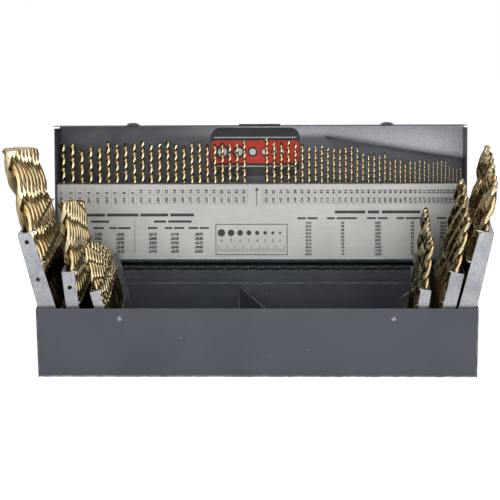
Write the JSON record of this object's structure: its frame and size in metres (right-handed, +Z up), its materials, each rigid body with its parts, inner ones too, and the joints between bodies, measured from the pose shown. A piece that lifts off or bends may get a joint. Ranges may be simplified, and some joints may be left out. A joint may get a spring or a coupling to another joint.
{
  "type": "drill index case",
  "caption": "Hinged sheet-steel drill index case standing open, with fold-out fans of twist bits on both sides and a row of smaller bits behind a panel in the lid.",
  "frame": {"origin": "centre of the underside of the tray", "axes": "+X to the right along the case, +Y to the back where the lid is hinged, +Z up"},
  "size_m": [0.4269, 0.1968, 0.2001],
  "materials": {
    "case_enamel": "blue-grey baked enamel, semi-gloss",
    "zinc_plate": "bright zinc plating",
    "satin_panel": "satin, printed in black",
    "gold_steel": "gold oxide over ground steel",
    "steel_pin": "plain steel"
  },
  "bodies": {
    "case": {"base_end_left": "case_enamel", "base_end_right": "case_enamel", "base_tray": "case_enamel", "divider": "case_enamel", "fan_cradle": "case_enamel", "hinge_leaf_base": "case_enamel", "hinge_pin": "steel_pin"},
    "lid": {"lid_shell": "case_enamel", "hinge_leaf_lid": "case_enamel", "number_panel": "satin_panel", "number_rest": "satin_panel", "number_bits_large": "gold_steel", "number_bits_small": "gold_steel", "bit_stop": "case_enamel"},
    "left_outer": {"left_outer_bits": "gold_steel", "left_outer_frame": "zinc_plate", "left_outer_pivots": "steel_pin", "left_outer_second_shelf": "zinc_plate", "left_outer_top_shelf": "zinc_plate"},
    "left_middle": {"left_middle_bits": "gold_steel", "left_middle_frame": "zinc_plate", "left_middle_pivots": "steel_pin", "left_middle_second_shelf": "zinc_plate", "left_middle_top_shelf": "zinc_plate"},
    "left_inner": {"left_inner_bits": "gold_steel", "left_inner_frame": "zinc_plate", "left_inner_pivots": "steel_pin", "left_inner_second_shelf": "zinc_plate", "left_inner_top_shelf": "zinc_plate"},
    "right_outer": {"right_outer_bits": "gold_steel", "right_outer_frame": "zinc_plate", "right_outer_pivots": "steel_pin", "right_outer_second_shelf": "zinc_plate", "right_outer_top_shelf": "zinc_plate"},
    "right_middle": {"right_middle_bits": "gold_steel", "right_middle_frame": "zinc_plate", "right_middle_pivots": "steel_pin", "right_middle_second_shelf": "zinc_plate", "right_middle_top_shelf": "zinc_plate"},
    "right_inner": {"right_inner_bits": "gold_steel", "right_inner_frame": "zinc_plate", "right_inner_pivots": "steel_pin", "right_inner_second_shelf": "zinc_plate", "right_inner_top_shelf": "zinc_plate"}
  },
  "joints": [
    {"name": "lid_hinge", "type": "hinge", "parent": "case", "child": "lid", "pos_m": [0, 0.06465, 0.0626], "axis": [1, 0, 0], "range_deg": [0, 15]},
    {"name": "left_outer_fold", "type": "hinge", "parent": "case", "child": "left_outer", "pos_m": [-0.17833, 0, 0.05], "axis": [0, 1, 0], "range_deg": [0, 103]},
    {"name": "left_middle_fold", "type": "hinge", "parent": "case", "child": "left_middle", "pos_m": [-0.15636, 0, 0.0315], "axis": [0, 1, 0], "range_deg": [0, 95.01]},
    {"name": "left_inner_fold", "type": "hinge", "parent": "case", "child": "left_inner", "pos_m": [-0.12517, 0, 0.017], "axis": [0, 1, 0], "range_deg": [0, 103.51]},
    {"name": "right_outer_fold", "type": "hinge", "parent": "case", "child": "right_outer", "pos_m": [0.17872, 0, 0.05], "axis": [0, -1, 0], "range_deg": [0, 101.5]},
    {"name": "right_middle_fold", "type": "hinge", "parent": "case", "child": "right_middle", "pos_m": [0.15916, 0, 0.0315], "axis": [0, -1, 0], "range_deg": [0, 102.01]},
    {"name": "right_inner_fold", "type": "hinge", "parent": "case", "child": "right_inner", "pos_m": [0.13731, 0, 0.017], "axis": [0, -1, 0], "range_deg": [0, 97.51]}
  ],
  "couplings": [
    {"joint": "left_middle_fold", "follows": "left_outer_fold", "ratio": 0.92233},
    {"joint": "left_inner_fold", "follows": "left_outer_fold", "ratio": 1.0049},
    {"joint": "right_middle_fold", "follows": "right_outer_fold", "ratio": 1.0049},
    {"joint": "right_inner_fold", "follows": "right_outer_fold", "ratio": 0.96059}
  ]
}
